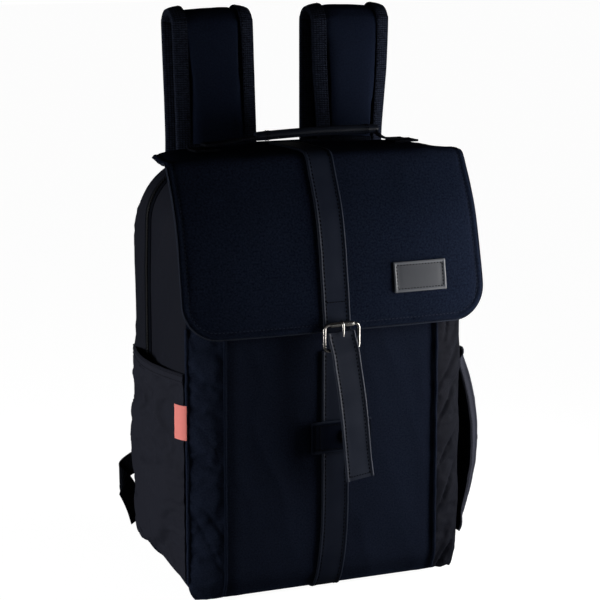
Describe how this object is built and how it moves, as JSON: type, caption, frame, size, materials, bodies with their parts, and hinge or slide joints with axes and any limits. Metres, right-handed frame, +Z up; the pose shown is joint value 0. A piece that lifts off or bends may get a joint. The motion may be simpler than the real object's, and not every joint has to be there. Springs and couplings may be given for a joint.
{
  "type": "school backpack",
  "caption": "Flap-top school backpack: a zipped compartment under a flap with a buckled centre strap, side pockets, carry handle and padded shoulder straps.",
  "frame": {"origin": "middle of the flat base, on the surface the bag stands on", "axes": "+Z up, -Y out of the front of the bag, +Y out of its back towards the shoulder straps, +X to the right of someone facing the front"},
  "size_m": [0.3404, 0.203, 0.5621],
  "materials": {
    "flap_weave": "coarse crosshatch weave, matt, with a faint sheen",
    "body_cloth": "dense heavy-duty polyester canvas, matt",
    "side_cloth": "smooth charcoal polyester, softly creased",
    "pu_strap": "coated strap material with a fine grain, half matt, stitched edges",
    "strap_mesh": "padded fabric and spacer mesh",
    "binding": "ribbed binding tape, matt",
    "webbing": "woven polypropylene webbing, ribbed",
    "metal": "nickel plate, satin",
    "hard_plastic": "moulded, satin",
    "patch_grey": "coated patch with a raised stitched rim",
    "label_red": "woven satin label with no text",
    "lining_cloth": "smooth grey lining"
  },
  "bodies": {
    "bag": {"back_pad_left": "strap_mesh", "back_pad_right": "strap_mesh", "back_panel": "lining_cloth", "bottom_panel": "body_cloth", "flap_seam": "binding", "front_center_panel": "body_cloth", "front_gusset": "side_cloth", "front_upper_panel": "body_cloth", "laptop_sleeve": "lining_cloth", "left_front_strip": "body_cloth", "left_piping": "binding", "left_pocket": "side_cloth", "left_pocket_hem": "side_cloth", "left_side_panel": "side_cloth", "lower_strap": "pu_strap", "lower_webbing_left": "webbing", "lower_webbing_right": "webbing", "rear_gusset": "side_cloth", "right_front_strip": "body_cloth", "right_piping": "binding", "right_pocket": "side_cloth", "right_pocket_hem": "side_cloth", "right_side_panel": "side_cloth", "shoulder_strap_left": "strap_mesh", "shoulder_strap_right": "strap_mesh", "side_label": "label_red", "snap_patch": "pu_strap", "snap_socket": "metal", "strap_binding_left_1": "binding", "strap_binding_left_2": "binding", "strap_binding_right_1": "binding", "strap_binding_right_2": "binding", "webbing_anchor_left": "side_cloth", "webbing_anchor_right": "side_cloth", "zipper_tape_front": "webbing", "zipper_tape_rear": "webbing", "zipper_teeth_front": "hard_plastic", "zipper_teeth_rear": "hard_plastic"},
    "flap": {"flap_outer": "flap_weave", "flap_lining": "lining_cloth", "upper_strap": "pu_strap", "name_patch": "patch_grey", "handle_foot_left": "pu_strap", "handle_foot_right": "pu_strap"},
    "handle": {"handle_webbing_left": "webbing", "handle_webbing_right": "webbing", "handle_grip": "binding"},
    "buckle": {"buckle_frame": "metal", "buckle_roller": "metal"},
    "prong": {"buckle_prong": "metal"},
    "tongue": {"strap_tongue": "pu_strap", "snap_stud": "metal"},
    "slider_left": {"zip_slider_left": "metal"},
    "slider_right": {"zip_slider_right": "metal"},
    "pull_left": {"zip_pull_left": "metal"},
    "pull_right": {"zip_pull_right": "metal"},
    "adjuster_left": {"strap_adjuster_left": "hard_plastic"},
    "adjuster_right": {"strap_adjuster_right": "hard_plastic"},
    "tail_left": {"webbing_tail_left": "webbing"},
    "tail_right": {"webbing_tail_right": "webbing"}
  },
  "joints": [
    {"name": "flap_lift", "type": "hinge", "parent": "bag", "child": "flap", "pos_m": [0, 0.036, 0.4235], "axis": [-1, 0, 0], "range_deg": [0, 65]},
    {"name": "handle_fold", "type": "hinge", "parent": "flap", "child": "handle", "pos_m": [0, -0.005, 0.4325], "axis": [1, 0, 0], "range_deg": [-30, 70]},
    {"name": "buckle_swing", "type": "hinge", "parent": "flap", "child": "buckle", "pos_m": [0.001, -0.1013, 0.2669], "axis": [-1, 0, 0], "range_deg": [0, 60]},
    {"name": "prong_lift", "type": "hinge", "parent": "buckle", "child": "prong", "pos_m": [0.001, -0.1013, 0.2669], "axis": [-1, 0, 0], "range_deg": [0, 60]},
    {"name": "tongue_swing", "type": "hinge", "parent": "buckle", "child": "tongue", "pos_m": [0.001, -0.1048, 0.2545], "axis": [-1, 0, 0], "range_deg": [0, 60]},
    {"name": "zip_slide_left", "type": "hinge", "parent": "bag", "child": "slider_left", "pos_m": [-0.093, 0.02816, 0.36], "axis": [0, -0.9855, -0.1698], "range_deg": [0, 80]},
    {"name": "pull_swing_left", "type": "hinge", "parent": "slider_left", "child": "pull_left", "pos_m": [-0.093, 0.013, 0.4146], "axis": [0, 0, 1], "range_deg": [-30, 30]},
    {"name": "zip_slide_right", "type": "hinge", "parent": "bag", "child": "slider_right", "pos_m": [0.093, 0.02816, 0.36], "axis": [0, 0.9855, 0.1698], "range_deg": [0, 80]},
    {"name": "pull_swing_right", "type": "hinge", "parent": "slider_right", "child": "pull_right", "pos_m": [0.093, 0.013, 0.4146], "axis": [0, 0, 1], "range_deg": [-30, 30]},
    {"name": "adjuster_tilt_left", "type": "hinge", "parent": "bag", "child": "adjuster_left", "pos_m": [-0.105, 0.085, 0.1695], "axis": [1, 0, 0], "range_deg": [-5, 35]},
    {"name": "tail_slide_left", "type": "slide", "parent": "bag", "child": "tail_left", "axis": [0, 0, -1], "range_m": [0, 0.03]},
    {"name": "adjuster_tilt_right", "type": "hinge", "parent": "bag", "child": "adjuster_right", "pos_m": [0.105, 0.085, 0.1695], "axis": [1, 0, 0], "range_deg": [-5, 35]},
    {"name": "tail_slide_right", "type": "slide", "parent": "bag", "child": "tail_right", "axis": [0, 0, -1], "range_m": [0, 0.03]}
  ]
}
